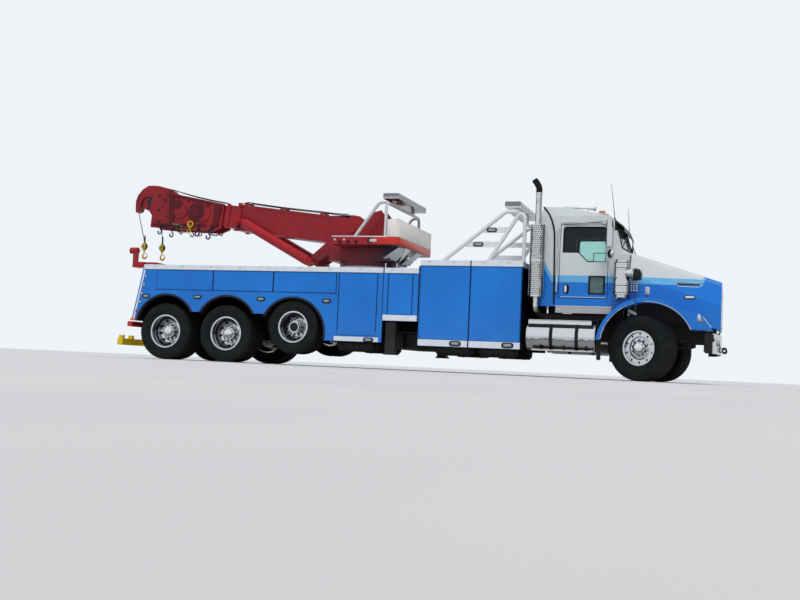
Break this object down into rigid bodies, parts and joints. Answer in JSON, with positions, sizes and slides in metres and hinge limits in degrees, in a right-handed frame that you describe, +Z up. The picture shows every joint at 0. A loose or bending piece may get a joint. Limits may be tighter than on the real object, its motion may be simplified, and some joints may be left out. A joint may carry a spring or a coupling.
{
  "type": "tow truck",
  "caption": "Heavy recovery truck with a conventional cab, side compartments, a slewing turret with a telescopic lifting boom, outriggers and a rear underlift.",
  "frame": {"origin": "on the floor, midway along and across the truck", "axes": "+X forward, +Y to the left, +Z up"},
  "size_m": [12.0999, 2.829, 3.6586],
  "materials": {
    "paint_blue": "gloss",
    "paint_white": "gloss",
    "boom_red": "gloss",
    "cylinder_red": "gloss",
    "chassis_black": "satin",
    "tyre": "matte",
    "polished_rim": "polished",
    "chrome": "polished",
    "stainless": "brushed",
    "glass": "clear",
    "interior": "matte",
    "rod_chrome": "polished",
    "yellow": "satin",
    "engine_grey": "rough",
    "tube_grey": "satin"
  },
  "bodies": {
    "root": {"frame": "chassis_black", "front_axle": "chassis_black", "rear_axles": "chassis_black", "engine": "engine_grey", "fuel_tanks": "chrome", "bumper": "chrome", "cab": "paint_blue", "cab_glass": "glass", "cab_interior": "interior", "exhaust": "stainless", "air_cleaners": "stainless", "rear_body": "paint_blue", "front_boxes": "paint_blue", "rack": "tube_grey", "tail_bar": "boom_red", "tower": "cylinder_red"},
    "knuckle_right": {"knuckle_right": "chassis_black"},
    "wheel_front_right": {"tyre_front_right": "tyre", "rim_front_right": "polished_rim"},
    "knuckle_left": {"knuckle_left": "chassis_black"},
    "wheel_front_left": {"tyre_front_left": "tyre", "rim_front_left": "polished_rim"},
    "tie_rod": {"tie_rod": "chassis_black"},
    "wheel_lift_right": {"tyre_lift_right": "tyre", "rim_lift_right": "polished_rim"},
    "wheel_lift_left": {"tyre_lift_left": "tyre", "rim_lift_left": "polished_rim"},
    "wheel_drive_front_right": {"tyre_drive_front_right": "tyre", "rim_drive_front_right": "polished_rim"},
    "wheel_drive_front_left": {"tyre_drive_front_left": "tyre", "rim_drive_front_left": "polished_rim"},
    "wheel_drive_rear_right": {"tyre_drive_rear_right": "tyre", "rim_drive_rear_right": "polished_rim"},
    "wheel_drive_rear_left": {"tyre_drive_rear_left": "tyre", "rim_drive_rear_left": "polished_rim"},
    "hood": {"hood": "paint_blue", "grille": "chrome", "headlamps": "glass"},
    "door_right": {"door_right": "paint_blue", "door_glass_right": "glass"},
    "door_left": {"door_left": "paint_blue", "door_glass_left": "glass"},
    "lids_rear_right": {"lids_rear_right": "paint_blue"},
    "lids_front_right": {"lids_front_right": "paint_blue"},
    "lids_rear_left": {"lids_rear_left": "paint_blue"},
    "lids_front_left": {"lids_front_left": "paint_blue"},
    "turret": {"turret": "boom_red", "winches": "boom_red", "mast": "paint_white"},
    "boom_base": {"boom_base": "boom_red"},
    "boom_mid": {"boom_mid": "boom_red"},
    "boom_head": {"boom_head": "boom_red"},
    "hook_nose": {"hook_nose": "yellow"},
    "hook_head": {"hook_head": "yellow"},
    "lift_barrels": {"lift_barrels": "cylinder_red"},
    "lift_rods": {"lift_rods": "rod_chrome"},
    "underlift_arm": {"underlift_arm": "chassis_black"},
    "underlift_bar": {"underlift_bar": "yellow"},
    "outrigger_right": {"outrigger_right": "chassis_black"},
    "outrigger_left": {"outrigger_left": "chassis_black"}
  },
  "joints": [
    {"name": "steer_right", "type": "hinge", "parent": "root", "child": "knuckle_right", "pos_m": [4.755, -0.85, 0.562], "axis": [0, 0, 1], "range_deg": [-11, 59]},
    {"name": "spin_front_right", "type": "hinge", "parent": "knuckle_right", "child": "wheel_front_right", "pos_m": [4.755, -0.85, 0.562], "axis": [0.4067, 0.9135, 0], "continuous": true},
    {"name": "steer_left", "type": "hinge", "parent": "root", "child": "knuckle_left", "pos_m": [4.755, 0.85, 0.562], "axis": [0, 0, 1], "range_deg": [-11, 59]},
    {"name": "spin_front_left", "type": "hinge", "parent": "knuckle_left", "child": "wheel_front_left", "pos_m": [4.755, 0.85, 0.562], "axis": [0.4067, 0.9135, 0], "continuous": true},
    {"name": "tie_rod_swing", "type": "hinge", "parent": "knuckle_right", "child": "tie_rod", "pos_m": [4.5997, -0.78085, 0.45], "axis": [0, 0, 1], "range_deg": [-59, 11]},
    {"name": "spin_lift_right", "type": "hinge", "parent": "root", "child": "wheel_lift_right", "pos_m": [-1.75, -0.955, 0.72], "axis": [0, 1, 0], "continuous": true},
    {"name": "spin_lift_left", "type": "hinge", "parent": "root", "child": "wheel_lift_left", "pos_m": [-1.75, 0.955, 0.72], "axis": [0, 1, 0], "continuous": true},
    {"name": "spin_drive_front_right", "type": "hinge", "parent": "root", "child": "wheel_drive_front_right", "pos_m": [-3.15, -0.955, 0.55], "axis": [0, 1, 0], "continuous": true},
    {"name": "spin_drive_front_left", "type": "hinge", "parent": "root", "child": "wheel_drive_front_left", "pos_m": [-3.15, 0.955, 0.55], "axis": [0, 1, 0], "continuous": true},
    {"name": "spin_drive_rear_right", "type": "hinge", "parent": "root", "child": "wheel_drive_rear_right", "pos_m": [-4.47, -0.955, 0.55], "axis": [0, 1, 0], "continuous": true},
    {"name": "spin_drive_rear_left", "type": "hinge", "parent": "root", "child": "wheel_drive_rear_left", "pos_m": [-4.47, 0.955, 0.55], "axis": [0, 1, 0], "continuous": true},
    {"name": "hood_tilt", "type": "hinge", "parent": "root", "child": "hood", "pos_m": [5.89, 0, 0.9], "axis": [0, 1, 0], "range_deg": [0, 70]},
    {"name": "door_right_swing", "type": "hinge", "parent": "root", "child": "door_right", "pos_m": [4.046, -1.024, 1.9], "axis": [0, 0, 1], "range_deg": [0, 65]},
    {"name": "door_left_swing", "type": "hinge", "parent": "root", "child": "door_left", "pos_m": [4.046, 1.024, 1.9], "axis": [0, 0, -1], "range_deg": [0, 65]},
    {"name": "lids_rear_right_lift", "type": "hinge", "parent": "root", "child": "lids_rear_right", "pos_m": [0, -1.29, 1.742], "axis": [-1, 0, 0], "range_deg": [0, 90]},
    {"name": "lids_front_right_lift", "type": "hinge", "parent": "root", "child": "lids_front_right", "pos_m": [0, -1.29, 1.894], "axis": [-1, 0, 0], "range_deg": [0, 90]},
    {"name": "lids_rear_left_lift", "type": "hinge", "parent": "root", "child": "lids_rear_left", "pos_m": [0, 1.29, 1.742], "axis": [1, 0, 0], "range_deg": [0, 90]},
    {"name": "lids_front_left_lift", "type": "hinge", "parent": "root", "child": "lids_front_left", "pos_m": [0, 1.29, 1.894], "axis": [1, 0, 0], "range_deg": [0, 90]},
    {"name": "turret_slew", "type": "hinge", "parent": "root", "child": "turret", "pos_m": [-0.71, 0, 1.96], "axis": [0, 0, 1], "range_deg": [-130, 130]},
    {"name": "boom_lift", "type": "hinge", "parent": "turret", "child": "boom_base", "pos_m": [-1.01, 0, 2.7], "axis": [0, 1, 0], "range_deg": [0, 50]},
    {"name": "boom_extend", "type": "slide", "parent": "boom_base", "child": "boom_mid", "axis": [-0.993, 0, 0.1184], "range_m": [0, 1.7]},
    {"name": "head_extend", "type": "slide", "parent": "boom_mid", "child": "boom_head", "axis": [-0.993, 0, 0.1184], "range_m": [0, 1.7]},
    {"name": "hook_nose_swing", "type": "hinge", "parent": "boom_head", "child": "hook_nose", "pos_m": [-5.98862, -0.05, 3.1426], "axis": [0, 1, 0], "range_deg": [-50, 0]},
    {"name": "hook_head_swing", "type": "hinge", "parent": "boom_head", "child": "hook_head", "pos_m": [-5.44436, 0.05, 2.92664], "axis": [0, 1, 0], "range_deg": [-50, 0]},
    {"name": "barrels_tilt", "type": "hinge", "parent": "turret", "child": "lift_barrels", "pos_m": [-1.84, 0, 2.04], "axis": [0, 1, 0], "range_deg": [0, 50.1]},
    {"name": "rods_slide", "type": "slide", "parent": "lift_barrels", "child": "lift_rods", "axis": [-0.8843, 0, 0.4669], "range_m": [0, 0.901]},
    {"name": "underlift_tilt", "type": "hinge", "parent": "root", "child": "underlift_arm", "pos_m": [-5.04, 0, 0.64], "axis": [0, 1, 0], "range_deg": [-6, 60]},
    {"name": "underlift_extend", "type": "slide", "parent": "underlift_arm", "child": "underlift_bar", "axis": [-1, 0, 0], "range_m": [0, 0.35]},
    {"name": "outrigger_right_extend", "type": "slide", "parent": "root", "child": "outrigger_right", "axis": [0, -1, 0], "range_m": [0, 1.2]},
    {"name": "outrigger_left_extend", "type": "slide", "parent": "root", "child": "outrigger_left", "axis": [0, 1, 0], "range_m": [0, 1.2]}
  ],
  "couplings": [
    {"joint": "steer_left", "follows": "steer_right", "ratio": 1},
    {"joint": "tie_rod_swing", "follows": "steer_right", "ratio": -1},
    {"joint": "head_extend", "follows": "boom_extend", "ratio": 1},
    {"joint": "hook_nose_swing", "follows": "boom_lift", "ratio": -1},
    {"joint": "hook_head_swing", "follows": "boom_lift", "ratio": -1},
    {"joint": "barrels_tilt", "follows": "boom_lift", "ratio": 0.9913},
    {"joint": "rods_slide", "follows": "boom_lift", "m_per_rad": 1.0269}
  ]
}
